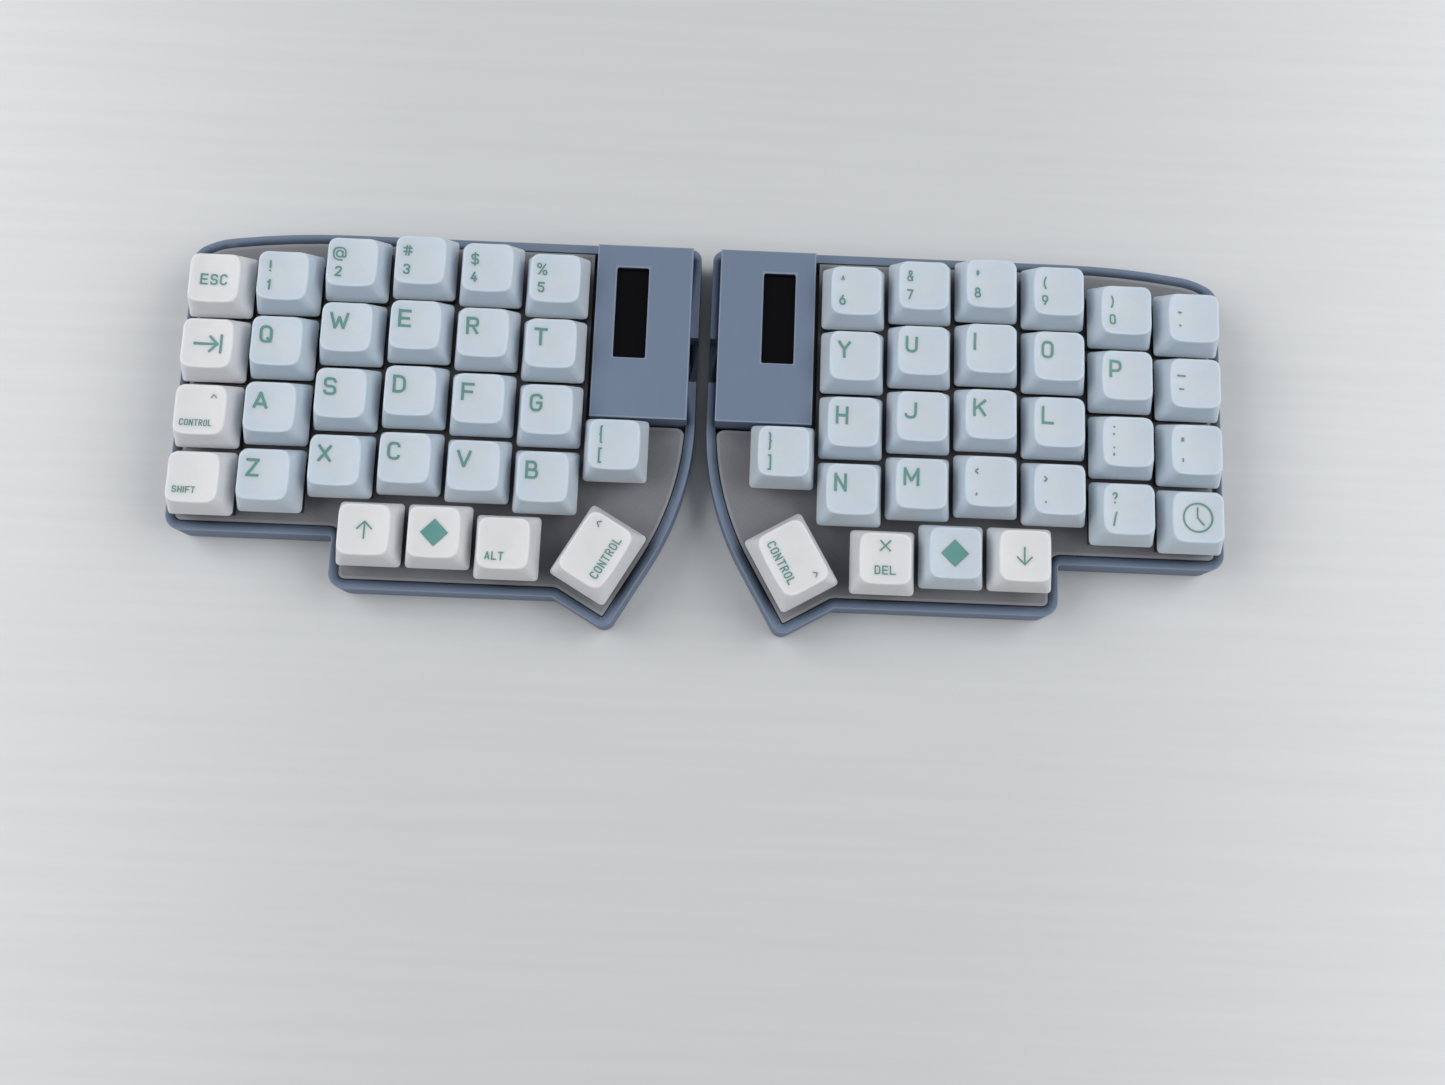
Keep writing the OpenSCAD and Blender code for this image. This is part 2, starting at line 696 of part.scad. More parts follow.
// The named pieces
module left_case() color("slategray") left() case_shell();
module right_case() color("slategray") right() case_shell();
module left_switch_plate() color("gray") left() plate();
module right_switch_plate() color("gray") right() plate();
module left_circuit_board() color("black") left() board();
module right_circuit_board() color("black") right() board();
module left_switch_housings() color("dimgray") left() housings();
module right_switch_housings() color("dimgray") right() housings();
module left_controller() color("darkgreen") left() controller();
module right_controller() color("darkgreen") right() controller();
module left_screen() color("black") left() screen();
module right_screen() color("black") right() screen();
module left_screen_cover() color("slategray") left() cover();
module right_screen_cover() color("slategray") right() cover();
module left_link_jack() color("black") left() jack();
module right_link_jack() color("black") right() jack();
module left_screws() color("silver") left() screws();
module right_screws() color("silver") right() screws();
module left_feet() color("black") left() feet();
module right_feet() color("black") right() feet();

module left_key(c, r) color("lightsteelblue") left() key(grid_key(c, r));
module right_key(c, r) color("lightsteelblue") right() key(grid_key(c, r));
module key_q() left_key(1, 1);
module key_w() left_key(2, 1);
module key_e() left_key(3, 1);
module key_r() left_key(4, 1);
module key_t() left_key(5, 1);
module key_a() left_key(1, 2);
module key_s() left_key(2, 2);
module key_d() left_key(3, 2);
module key_f() left_key(4, 2);
module key_g() left_key(5, 2);
module key_z() left_key(1, 3);
module key_x() left_key(2, 3);
module key_c() left_key(3, 3);
module key_v() left_key(4, 3);
module key_b() left_key(5, 3);
module key_y() right_key(5, 1);
module key_u() right_key(4, 1);
module key_i() right_key(3, 1);
module key_o() right_key(2, 1);
module key_p() right_key(1, 1);
module key_h() right_key(5, 2);
module key_j() right_key(4, 2);
module key_k() right_key(3, 2);
module key_l() right_key(2, 2);
module key_semicolon() right_key(1, 2);
module key_n() right_key(5, 3);
module key_m() right_key(4, 3);
module key_comma() right_key(3, 3);
module key_period() right_key(2, 3);
module key_slash() right_key(1, 3);

module left_thumb_outer() color("white") left() key(thumb_keys[0]);
module left_thumb_middle() color("white") left() key(thumb_keys[1]);
module left_thumb_inner() color("white") left() key(thumb_keys[2]);
module left_thumb_long() color("white") left() key(long_key);
module right_thumb_outer() color("white") right() key(thumb_keys[0]);
module right_thumb_middle() color("white") right() key(thumb_keys[1]);
module right_thumb_inner() color("white") right() key(thumb_keys[2]);
module right_thumb_long() color("white") right() key(long_key);

module border_keys() {
  for (k = concat(back_keys, outer_keys, [bracket_key])) key(k);
}
module left_border_keys() color("lightsteelblue") left() border_keys();
module right_border_keys() color("lightsteelblue") right() border_keys();

left_case();
left_switch_plate();
left_circuit_board();
left_switch_housings();
left_controller();
left_screen();
left_screen_cover();
left_link_jack();
left_screws();
left_feet();
right_case();
right_switch_plate();
right_circuit_board();
right_switch_housings();
right_controller();
right_screen();
right_screen_cover();
right_link_jack();
right_screws();
right_feet();
key_q();
key_w();
key_e();
key_r();
key_t();
key_a();
key_s();
key_d();
key_f();
key_g();
key_z();
key_x();
key_c();
key_v();
key_b();
key_y();
key_u();
key_i();
key_o();
key_p();
key_h();
key_j();
key_k();
key_l();
key_semicolon();
key_n();
key_m();
key_comma();
key_period();
key_slash();
left_thumb_outer();
left_thumb_middle();
left_thumb_inner();
left_thumb_long();
right_thumb_outer();
right_thumb_middle();
right_thumb_inner();
right_thumb_long();
left_border_keys();
right_border_keys();
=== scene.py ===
import math

import bmesh
import bpy
from mathutils import Euler, Matrix, Vector


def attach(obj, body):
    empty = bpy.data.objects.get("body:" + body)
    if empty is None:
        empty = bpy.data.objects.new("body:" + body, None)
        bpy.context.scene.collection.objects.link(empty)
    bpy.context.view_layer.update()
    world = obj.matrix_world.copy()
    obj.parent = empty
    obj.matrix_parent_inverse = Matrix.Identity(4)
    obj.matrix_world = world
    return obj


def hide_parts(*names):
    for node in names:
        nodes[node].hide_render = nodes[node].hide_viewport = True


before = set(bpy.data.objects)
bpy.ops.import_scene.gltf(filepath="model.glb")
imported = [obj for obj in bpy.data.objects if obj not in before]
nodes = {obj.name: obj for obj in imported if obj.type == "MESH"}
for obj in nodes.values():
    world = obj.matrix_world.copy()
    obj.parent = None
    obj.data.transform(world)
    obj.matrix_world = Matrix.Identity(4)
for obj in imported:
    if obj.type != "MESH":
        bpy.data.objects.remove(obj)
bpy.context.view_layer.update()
mm = 0.001
print("frame loaded:", len(nodes), "nodes")


class Wire:  # a shader socket that can be reckoned with
    def __init__(self, tree, socket=None):
        self.tree = tree
        self.socket = socket

    def make(self, kind, feeds, pick=0, **settings):  # any node, fed by name or number
        node = self.tree.nodes.new(kind)
        for name, value in settings.items():
            setattr(node, name, value)
        for name, value in feeds.items():
            feed(self.tree, node.inputs[name], value)
        return Wire(self.tree, node.outputs[pick])

    def outputs(self, names):  # named outputs of the node that this socket belongs to
        return [Wire(self.tree, self.socket.node.outputs[name]) for name in names]

    def reckon(self, operation, first, second=0.0):
        return self.make("ShaderNodeMath", {0: first, 1: second}, operation=operation)

    def __add__(self, other):
        return self.reckon("ADD", self, other)

    def __radd__(self, other):
        return self.reckon("ADD", other, self)

    def __sub__(self, other):
        return self.reckon("SUBTRACT", self, other)

    def __rsub__(self, other):
        return self.reckon("SUBTRACT", other, self)

    def __mul__(self, other):
        return self.reckon("MULTIPLY", self, other)

    def __rmul__(self, other):
        return self.reckon("MULTIPLY", other, self)

    def __gt__(self, other):
        return self.reckon("GREATER_THAN", self, other)

    def __lt__(self, other):
        return self.reckon("LESS_THAN", self, other)

    def sine(self):
        return self.reckon("SINE", self)

    def noise(self, scale, detail=2.0):
        return self.make("ShaderNodeTexNoise", {"Vector": self, "Scale": scale, "Detail": detail})

    def fade(self, low, high):  # 0 up to low, 1 from high on
        return self.make("ShaderNodeMapRange", {"Value": self, "From Min": low, "From Max": high})

    def blend(self, low, high):  # colour between two, by this share
        return self.make("ShaderNodeMix", {0: self, 6: low, 7: high}, 2, data_type="RGBA")

    def span(self, low, high):  # number between two, by this share
        return self * (high - low) + low

    def parts(self):  # the three numbers of a vector
        return self.make("ShaderNodeSeparateXYZ", {0: self}).outputs("XYZ")

    def bump(self, depth):
        return self.make("ShaderNodeBump", {"Height": self, "Strength": 1.0, "Distance": depth * mm})


def feed(tree, socket, value):  # a link or a plain value
    if isinstance(value, Wire):
        tree.links.new(value.socket, socket)
    else:
        socket.default_value = value


def tint(red, green, blue):  # screen colour to linear light
    return [(c / 12.92 if c <= 0.04045 else ((c + 0.055) / 1.055) ** 2.4)
            for c in (red / 255, green / 255, blue / 255)] + [1.0]


def tints(colours):
    return [tint(*colour) for colour in colours]


def looking(wire):  # 1 for rays that look at a backdrop, 0 for rays that carry light
    rays = wire.make("ShaderNodeLightPath", {})
    camera, glossy, through = rays.outputs(("Is Camera Ray", "Is Glossy Ray", "Is Transmission Ray"))
    return camera + glossy + through > 0.5


def newLook(name):
    material = bpy.data.materials.new(name)
    material.use_nodes = True
    place = Wire(material.node_tree).make("ShaderNodeTexCoord", {}, "Object")
    return material, material.node_tree.nodes["Principled BSDF"], place


def dress(shader, place, colour, roughness, normal=None, metallic=None):
    given = {"Base Color": colour, "Roughness": roughness, "Normal": normal, "Metallic": metallic}
    for name, value in given.items():
        if value is not None:
            feed(place.tree, shader.inputs[name], value)


# moulded pieces: cloudy colour and fine grain; a glow is how far red, green and blue spread inside
mouldForm = {
    "capBlue": {"tones": ((200, 211, 221), (206, 216, 226)), "cloud": 150.0, "grain": 5200.0,
                "depth": 0.006, "rough": (0.42, 0.52), "shine": 0.5, "glow": (0.6, 1.0, 1.3)},
    "capWhite": {"tones": ((222, 223, 225), (228, 229, 231)), "cloud": 150.0, "grain": 5200.0,
                 "depth": 0.006, "rough": (0.42, 0.52), "shine": 0.5, "glow": (1.0, 1.0, 1.0)},
    "legendInk": {"tones": ((82, 139, 135), (92, 148, 144)), "cloud": 400.0, "grain": 5200.0,
                  "depth": 0.004, "rough": (0.45, 0.55), "shine": 0.5},
    "stemPlastic": {"tones": ((34, 34, 36), (44, 44, 46)), "cloud": 300.0, "grain": 4000.0,
                    "depth": 0.004, "rough": (0.35, 0.45), "shine": 0.5},
    "switchPlastic": {"tones": ((22, 22, 24), (30, 30, 32)), "cloud": 300.0, "grain": 4000.0,
                      "depth": 0.005, "rough": (0.4, 0.5), "shine": 0.5},
    "jackPlastic": {"tones": ((22, 22, 24), (30, 30, 32)), "cloud": 400.0, "grain": 4000.0,
                    "depth": 0.005, "rough": (0.35, 0.45), "shine": 0.5},
    "footRubber": {"tones": ((34, 34, 34), (46, 46, 46)), "cloud": 500.0, "grain": 3000.0,
                   "depth": 0.01, "rough": (0.75, 0.9), "shine": 0.3}}
glowForm = {"share": 0.8, "reach": 1.8}


def mouldLook(name):
    form = mouldForm[name]
    material, shader, place = newLook(name)
    colour = place.noise(form["cloud"], detail=3.0).blend(*tints(form["tones"]))
    fine = place.noise(form["grain"])
    dress(shader, place, colour, fine.span(*form["rough"]), fine.bump(form["depth"]))
    shader.inputs["Specular IOR Level"].default_value = form["shine"]
    if "glow" in form:
        shader.inputs["Subsurface Weight"].default_value = glowForm["share"]
        shader.inputs["Subsurface Radius"].default_value = form["glow"]
        shader.inputs["Subsurface Scale"].default_value = glowForm["reach"] * mm
    return material


# printed pieces: a diagonal raster on level faces, layers on walls, and a painted highlight in the edge
# tone on sloped faces; the rings' raster is too wide to show
printForm = {
    "casePrint": {"tones": ((103, 118, 141), (111, 126, 148)), "edge": (132, 145, 165), "raster": 0.45,
                  "depth": 0.008, "rough": (0.5, 0.62)},
    "platePrint": {"tones": ((111, 113, 118), (134, 136, 141)), "edge": (146, 148, 153), "raster": 0.47,
                   "depth": 0.04, "rough": (0.5, 0.66)},
    "plateRing": {"tones": ((126, 128, 132), (146, 148, 152)), "edge": (150, 152, 156), "raster": 1000.0,
                  "depth": 0.01, "rough": (0.5, 0.66)}}
lineForm = {"layer": 0.2, "level": 0.8, "slant": (0.25, 0.94), "cloud": 70.0, "cloudShare": 0.8,
            "lineShare": 0.1, "darkest": 0.05, "shine": 0.4}


def printLook(name):
    form, lay = printForm[name], lineForm
    material, shader, place = newLook(name)
    x, y, z = place.parts()
    facing = place.make("ShaderNodeNewGeometry", {}, "True Normal").parts()[2]
    level = facing * facing > lay["level"] ** 2
    lines = ((x + y) * (2 * math.pi / (math.sqrt(2) * form["raster"] * mm))).sine()
    steps = (z * (2 * math.pi / (lay["layer"] * mm))).sine()
    height = level * lines + (1 - level) * steps
    cloud = place.noise(lay["cloud"], detail=3.0)
    share = cloud * lay["cloudShare"] + height * lay["lineShare"] + lay["darkest"]
    slant = (facing > lay["slant"][0]) * (facing < lay["slant"][1])  # sloped faces get a painted highlight in the edge tone
    colour = slant.blend(share.blend(*tints(form["tones"])), tint(*form["edge"]))
    dress(shader, place, colour, cloud.span(*form["rough"]), height.bump(form["depth"]))
    shader.inputs["Specular IOR Level"].default_value = lay["shine"]
    return material


def boardLook():  # dark solder mask with tracks under it
    form = {"mask": ((20, 22, 24), (30, 32, 35)), "track": (36, 40, 44), "pitch": 2.54, "crest": 0.86,
            "patch": 60.0, "cloud": 300.0, "rough": (0.42, 0.34), "depth": 0.03}
    material, shader, place = newLook("boardMask")
    waves = (place.parts()[1] * (2 * math.pi / (form["pitch"] * mm))).sine()
    lanes = (waves > form["crest"]) * (place.noise(form["patch"]) > 0.5)
    ground = place.noise(form["cloud"]).blend(*tints(form["mask"]))
    colour = lanes.blend(ground, tint(*form["track"]))
    dress(shader, place, colour, lanes.span(*form["rough"]), lanes.bump(form["depth"]))
    return material


def controllerLook():  # black strips below, the board between, the metal port on top
    form = {"mask": ((16, 30, 26), (24, 40, 34)), "strip": (24, 24, 26), "metal": (196, 198, 200),
            "stripTop": 9.1, "portFoot": 10.7, "cloud": 500.0, "grain": 4000.0, "rough": (0.45, 0.28),
            "depth": 0.004}
    material, shader, place = newLook("controllerMix")
    z = place.parts()[2]
    port = z > form["portFoot"] * mm
    strip = z < form["stripTop"] * mm
    mask = place.noise(form["cloud"]).blend(*tints(form["mask"]))
    colour = port.blend(strip.blend(mask, tint(*form["strip"])), tint(*form["metal"]))
    fine = place.noise(form["grain"])
    dress(shader, place, colour, port.span(*form["rough"]), fine.bump(form["depth"]), port)
    return material


def screenLook():  # dark glass on a small board
    form = {"glass": ((9, 8, 12), (12, 11, 15)), "board": (20, 30, 50), "glassFoot": 15.48, "cloud": 200.0,
            "grain": 900.0, "rough": (0.5, 0.16), "depth": 0.001, "shine": 0.05}
    material, shader, place = newLook("screenGlass")
    glass = place.parts()[2] > form["glassFoot"] * mm
    dark = place.noise(form["cloud"]).blend(*tints(form["glass"]))
    colour = glass.blend(tint(*form["board"]), dark)
    fine = place.noise(form["grain"])
    dress(shader, place, colour, glass.span(*form["rough"]), fine.bump(form["depth"]))
    shader.inputs["Specular IOR Level"].default_value = form["shine"]
    return material


def steelLook():
    form = {"tones": ((150, 152, 155), (184, 186, 188)), "grain": 3000.0, "rough": (0.25, 0.4),
            "depth": 0.004}
    material, shader, place = newLook("screwSteel")
    fine = place.noise(form["grain"], detail=3.0)
    colour = fine.blend(*tints(form["tones"]))
    dress(shader, place, colour, fine.span(*form["rough"]), fine.bump(form["depth"]), 1.0)
    return material


looks = {name: mouldLook(name) for name in mouldForm}
looks.update({name: printLook(name) for name in printForm})
looks.update(boardMask=boardLook(), controllerMix=controllerLook(), screenGlass=screenLook(),
             screwSteel=steelLook())
print("looks made:", len(looks))


def newPiece(name, bm):
    mesh = bpy.data.meshes.new(name)
    bm.to_mesh(mesh)
    bm.free()
    piece = bpy.data.objects.new(name, mesh)
    bpy.context.scene.collection.objects.link(piece)
    return piece


def join(bm, extra):  # adds one shape to another
    mesh = bpy.data.meshes.new("extra")
    extra.to_mesh(mesh)
    extra.free()
    bm.from_mesh(mesh)
    bpy.data.meshes.remove(mesh)


def plainName(node):  # left_screen_cover becomes leftScreenCover
    first, *rest = node.split("_")
    return first + "".join(part.capitalize() for part in rest)


def once(items):  # each item once and in order, so that every run gives the same mesh
    return list(dict.fromkeys(items))


def bendSpot(start, bend, end, share):  # a place on a round bend
    return start * (1 - share) ** 2 + bend * 2 * share * (1 - share) + end * share ** 2


# a keycap in mm, its skirt at zero; soft and ease shape the corners, dish is the ball that hollows the top
capForm = {"width": 18.05, "long": 22.8125, "height": 8.2, "lean": 2.0, "dishRadius": 28.0, "dishLow": 7.3,
           "skirtRound": 1.2, "topRound": 2.6, "leastRound": 0.4, "ease": 1.25, "soft": 0.77, "wall": 1.4,
           "roof": 5.8, "edge": 0.5, "edgeStart": 1.35, "foot": 0.2, "cornerSteps": 10, "sideSteps": 6,
           "edgeSteps": 5, "rimTries": 8, "dishRings": 11, "dishShares": (0.985, 0.055)}
postForm = {"radius": 2.75, "low": 0.6, "high": 6.4, "steps": 28}
stemForm = {"size": (7.0, 5.6, 3.5), "middle": -1.2, "mark": 1}  # the mark tells its faces from the cap's
quarter = capForm["cornerSteps"] + capForm["sideSteps"]
around = range(4 * quarter)


def dishHeight(spot):
    radius = capForm["dishRadius"]
    return capForm["dishLow"] + radius - math.sqrt(radius ** 2 - spot.x ** 2 - spot.y ** 2)


def outlineSpot(step, z, length, thin=0.0):  # one place on the outline of a cap at a height
    form = capForm
    slope = form["lean"] * z / form["height"] + thin
    across, along = form["width"] / 2 - slope, length / 2 - slope
    corner = form["skirtRound"] + (form["topRound"] - form["skirtRound"]) * z / form["height"]
    bend = max(form["leastRound"], form["ease"] * corner - thin)

    def cornerSpot(turn, share):  # corners ease into the sides instead of being plain arcs
        side = ((1, 1), (-1, 1), (-1, -1), (1, -1))[turn % 4]
        ahead = max(0.0, math.cos(share * math.pi / 2)) ** form["soft"] * bend
        aside = math.sin(share * math.pi / 2) ** form["soft"] * bend
        way = ((ahead, aside), (-aside, ahead), (-ahead, -aside), (aside, -ahead))[turn % 4]
        return Vector((side[0] * (across - bend) + way[0], side[1] * (along - bend) + way[1], z))

    turn, part = divmod(step, quarter)
    if part <= form["cornerSteps"]:
        return cornerSpot(turn, part / form["cornerSteps"])
    share = (part - form["cornerSteps"]) / form["sideSteps"]
    return cornerSpot(turn, 1).lerp(cornerSpot(turn + 1, 0), share)


def rimSpot(step, length):  # where a side meets the dish
    z = capForm["height"]
    for _ in range(capForm["rimTries"]):
        z = dishHeight(outlineSpot(step, z, length))
    return outlineSpot(step, z, length)


def capRows(length):  # rings of a cap from the hollow, round the skirt, to the middle of the dish
    form = capForm
    hollow = ((form["roof"], form["wall"]), (0.0, form["wall"]), (0.0, form["foot"]))
    sides = ((form["foot"], 0.0), (2 * form["foot"], 0.0), (form["height"] / 2, 0.0))
    rows = [[outlineSpot(step, z, length, thin) for step in around] for z, thin in hollow + sides]
    rims = [rimSpot(step, length) for step in around]
    starts = [outlineSpot(step, rims[step].z - form["edge"], length) for step in around]
    ends = [outlineSpot(step, rims[step].z, length, form["edge"]) for step in around]
    for spot in ends:
        spot.z = dishHeight(spot)
    below = form["edgeStart"] * form["edge"]
    rows.append([outlineSpot(step, rims[step].z - below, length) for step in around])
    for count in range(form["edgeSteps"] + 1):
        share = count / form["edgeSteps"]
        rows.append([bendSpot(*spots, share) for spots in zip(starts, rims, ends)])
    first, last = form["dishShares"]
    for count in range(form["dishRings"]):
        share = first + (last - first) * count / (form["dishRings"] - 1)
        ring = [Vector((spot.x * share, spot.y * share, 0)) for spot in ends]
        for spot in ring:
            spot.z = dishHeight(spot)
        rows.append(ring)
    return rows


def buildCap(length):
    bm = bmesh.new()
    loops = []
    for row in capRows(length):
        made = bmesh.ops.create_circle(bm, segments=len(row), radius=1.0)["verts"]
        for vert, spot in zip(made, row):
            vert.co = spot
        loops.append(once(edge for vert in made for edge in vert.link_edges))
    for near, far in zip(loops, loops[1:]):
        bmesh.ops.bridge_loops(bm, edges=near + far)
    for end in (loops[0], loops[-1]):
        bmesh.ops.edgeloop_fill(bm, edges=end)
    post = postForm
    bmesh.ops.create_cone(bm, cap_ends=True, segments=post["steps"], radius1=post["radius"],
                          radius2=post["radius"], depth=post["high"] - post["low"],
                          matrix=Matrix.Translation((0, 0, (post["low"] + post["high"]) / 2)))
    for face in bm.faces:
        face.material_index = 0
    lift = Matrix.Translation((0, 0, stemForm["middle"]))
    block = bmesh.ops.create_cube(bm, size=1.0, matrix=lift @ Matrix.Diagonal((*stemForm["size"], 1)))
    for face in once(face for vert in block["verts"] for face in vert.link_faces):
        face.material_index = stemForm["mark"]
    bmesh.ops.recalc_face_normals(bm, faces=bm.faces)
    mesh = bpy.data.meshes.new("capBlank")
    bm.to_mesh(mesh)
    bm.free()
    return mesh


capBlanks = {"plain": buildCap(capForm["width"]), "long": buildCap(capForm["long"])}
print("cap blanks made:", [len(blank.polygons) for blank in capBlanks.values()])

# legends in mm from the middle of a cap; a bend takes a share of the stretches beside it, and strokes run
# on past their ends by a share of their width
markForm = {"over": 0.05, "under": 0.12, "longest": 1.2, "cuts": 3, "merge": 0.0005, "ease": 0.45,
            "easeSteps": 6, "endShare": 0.95, "midShare": 0.5, "least": 0.01, "past": 0.5, "slopePast": 0.2,
            "slope": 0.01, "grid": 8, "middle": -3.8, "gap": 0.3, "thin": 0.22}
letterForm = {"wide": 3.5, "tall": 5.0, "stroke": 0.76, "left": -4.9, "foot": -0.58}
letterWide = {"I": 0.7, "M": 4.4, "W": 5.3, "A": 4.1, "V": 4.1, "X": 3.9, "Y": 3.9, "K": 3.8, "T": 3.7}
signForm = {"size": (1.85, 3.15), "stroke": 0.5, "top": 4.4, "foot": -4.25}
signSize = {"@": (3.7, 3.9), "#": (2.5, 3.2), "$": (2.2, 3.8), "%": (2.9, 3.4), "(": (1.85, 3.9),
            ")": (1.85, 3.9), "/": (2.4, 4.4), "{": (2.2, 5.0), "}": (2.2, 5.0), "[": (2.4, 4.5),
            "]": (2.4, 4.5), "_": (2.5, 3.15)}
signStroke = {"@": 0.42, "#": 0.4, "$": 0.42, "%": 0.38, "^": 0.32, "&": 0.42, "*": 0.35}
signTop = {"{": 5.27, "}": 5.27, "?": 4.7}
signFoot = {"/": -4.95, "[": -5.43, "]": -5.43}

# strokes on a grid of 8 by 8: two digits a point, and an o before a stroke eases its bends
glyphs = {
    "A": "0048 4880 1272", "B": "0008 o08787404 o04848000", "C": "o868808008082", "D": "0008 o08888000",
    "E": "0008 0888 0474 0080", "F": "0008 0888 0474", "G": "o868808008084 8454", "H": "0008 8088 0484",
    "I": "0008", "J": "o88800002", "K": "0008 0388 3580", "L": "0008 0080", "M": "0008 0842 4288 8880",
    "N": "0008 0880 8088", "O": "o0888800008", "P": "0008 o08888303", "Q": "o0888800008 5280",
    "R": "0008 o08888404 4480", "S": "o8688080484800002", "T": "0888 4840", "U": "o08008088",
    "V": "0840 4088", "W": "0820 2046 4660 6088", "X": "0088 0880", "Y": "0844 8844 4440",
    "Z": "0888 8800 0080", "0": "o0888800008", "1": "5058 5826", "2": "o0608888500 0080",
    "3": "o0608888434 o3484800002", "4": "5802 0282 6460", "5": "8808 0805 o0585800002",
    "6": "o0585800005 5803", "7": "0888 8820", "8": "o1878741418 o0484800004", "9": "o0888830308 8530",
    "!": "4843 4040", "@": "o60000888826266 o2666622226", "#": "2038 5068 0383 0686",
    "$": "o8687070484810102 4048", "%": "1078 o0838350508 o5383805053", "^": "2548 4865",
    "&": "o802628686503006084", "*": "4347 2466 2664", "(": "o68363260", ")": "o28565220",
    "~": "o10315071", "`": "3655", "_": "0282", "-": "1777", "{": "o68484424 o60404424",
    "}": "o28484464 o20404464", "[": "5838 3830 3050", "]": "3858 5850 5030", "\"": "3335 5355",
    "'": "4244", ":": "4242 4848", ";": "4747 4230", "<": "6624 2462", ">": "2664 6422", ",": "4230",
    ".": "4141", "?": "o161878754443 4040", "/": "2068"}


def easedPath(points, most):  # round bends between straight stretches
    form = markForm
    closed = points[0] == points[-1]
    spots = [Vector(point) for point in (points[:-1] if closed else points)]
    count = len(spots)
    path = [] if closed else [spots[0]]
    for k in range(count) if closed else range(1, count - 1):
        bend = spots[k]
        starts, ends = spots[k - 1] - bend, spots[(k + 1) % count] - bend
        first = form["endShare"] if not closed and k == 1 else form["midShare"]
        last = form["endShare"] if not closed and k == count - 2 else form["midShare"]
        reach = min(most, first * starts.length, last * ends.length)
        near, far = bend + starts.normalized() * reach, bend + ends.normalized() * reach
        for step in range(form["easeSteps"] + 1):
            spot = bendSpot(near, bend, far, step / form["easeSteps"])
            if not path or (spot - path[-1]).length > form["least"]:
                path.append(spot)
    if closed and (path[0] - path[-1]).length < form["least"]:
        path.pop()
    path.append(path[0] if closed else spots[-1])
    return path


def straightPath(points, wide):  # squared off past its ends, and a dot where both ends meet
    start, end = Vector(points[0]), Vector(points[-1])
    way = (end - start).normalized() if end != start else Vector((1, 0))
    sloping = min(abs(way.x), abs(way.y)) >= markForm["slope"]
    past = way * wide * markForm["slopePast" if sloping else "past"]
    return [start - past, end + past]


def strokes(paths, wide):  # flat strokes of one width along paths
    profile = bpy.data.curves.new("strokeProfile", "CURVE")
    edge = profile.splines.new("POLY")
    edge.points.add(3)
    for point, (x, y) in zip(edge.points, ((-1, -1), (1, -1), (1, 1), (-1, 1))):
        point.co = (x * wide / 2, y / 2, 0, 1)
    edge.use_cyclic_u = True
    curve = bpy.data.curves.new("strokes", "CURVE")
    curve.dimensions = "3D"
    curve.twist_mode = "Z_UP"
    curve.use_fill_caps = True
    for path in paths:
        closed = path[0] == path[-1]
        spline = curve.splines.new("POLY")
        spline.points.add(len(path) - (2 if closed else 1))
        for point, spot in zip(spline.points, path):
            point.co = (spot.x, spot.y, 0, 1)
        spline.use_cyclic_u = closed
    holders = [bpy.data.objects.new(shape.name, shape) for shape in (profile, curve)]
    for holder in holders:
        bpy.context.scene.collection.objects.link(holder)
    curve.bevel_mode = "OBJECT"
    curve.bevel_object = holders[0]
    bpy.context.view_layer.update()
    mesh = bpy.data.meshes.new_from_object(holders[1].evaluated_get(bpy.context.evaluated_depsgraph_get()))
    bm = bmesh.new()
    bm.from_mesh(mesh)
    bpy.data.meshes.remove(mesh)
    for holder in holders:
        shape = holder.data
        bpy.data.objects.remove(holder)
        bpy.data.curves.remove(shape)
    return bm


def glyph(letter, corner, size, wide):  # paths of one letter or sign, from its lower left corner
    across, tall = (size[0] - wide) / markForm["grid"], (size[1] - wide) / markForm["grid"]
    left, foot = corner[0] + wide / 2, corner[1] + wide / 2
    paths = []
    for stroke in glyphs[letter].split():
        digits = stroke.lstrip("o")
        points = [(left + int(x) * across, foot + int(y) * tall)
                  for x, y in zip(digits[::2], digits[1::2])]
        eased = stroke.startswith("o")
        paths.append(easedPath(points, markForm["ease"] * size[0]) if eased else straightPath(points, wide))
    return paths


def word(letters, corner, size, wide):  # letters in a row
    shares = [markForm["thin"] if letter == "I" else 1.0 for letter in letters]
    unit = size[0] / (sum(shares) + markForm["gap"] * (len(letters) - 1))
    paths = []
    x = corner[0]
    for letter, share in zip(letters, shares):
        paths += glyph(letter, (x, corner[1]), (max(wide, unit * share), size[1]), wide)
        x += unit * (share + markForm["gap"])
    return strokes(paths, wide)


def sign(letter, upper):  # one of two signs on a cap, above or below
    form = signForm
    size = signSize.get(letter, form["size"])
    wide = signStroke.get(letter, form["stroke"])
    foot = signTop.get(letter, form["top"]) - size[1] if upper else signFoot.get(letter, form["foot"])
    return strokes(glyph(letter, (markForm["middle"] - size[0] / 2, foot), size, wide), wide)


def bars(wide, *ends):  # straight strokes, each given by its two ends
    return strokes([straightPath(pair, wide) for pair in ends], wide)


def hoop(radius, wide, steps=48):  # round stroke about the middle of the cap
    ring = [Vector((radius, 0)) @ Matrix.Rotation(2 * math.pi * k / steps, 2) for k in range(steps)]
    return strokes([ring + ring[:1]], wide)


def diamond(reach):
    bm = bmesh.new()
    turn = Matrix.Rotation(math.pi / 4, 4, "Z")
    bmesh.ops.create_cube(bm, size=1.0, matrix=turn @ Matrix.Diagonal((reach, reach, 1, 1)))
    return bm


def arrow(way, reach, head, wide):
    tip = (0, way * reach)
    wing = way * (reach - head)
    return bars(wide, ((0, -way * reach), tip), ((-head, wing), tip), ((head, wing), tip))


def caret(x, y, wide, half=0.8, rise=0.45):
    tip = (x, y + rise)
    return bars(wide, ((x - half, y - rise), tip), ((x + half, y - rise), tip))


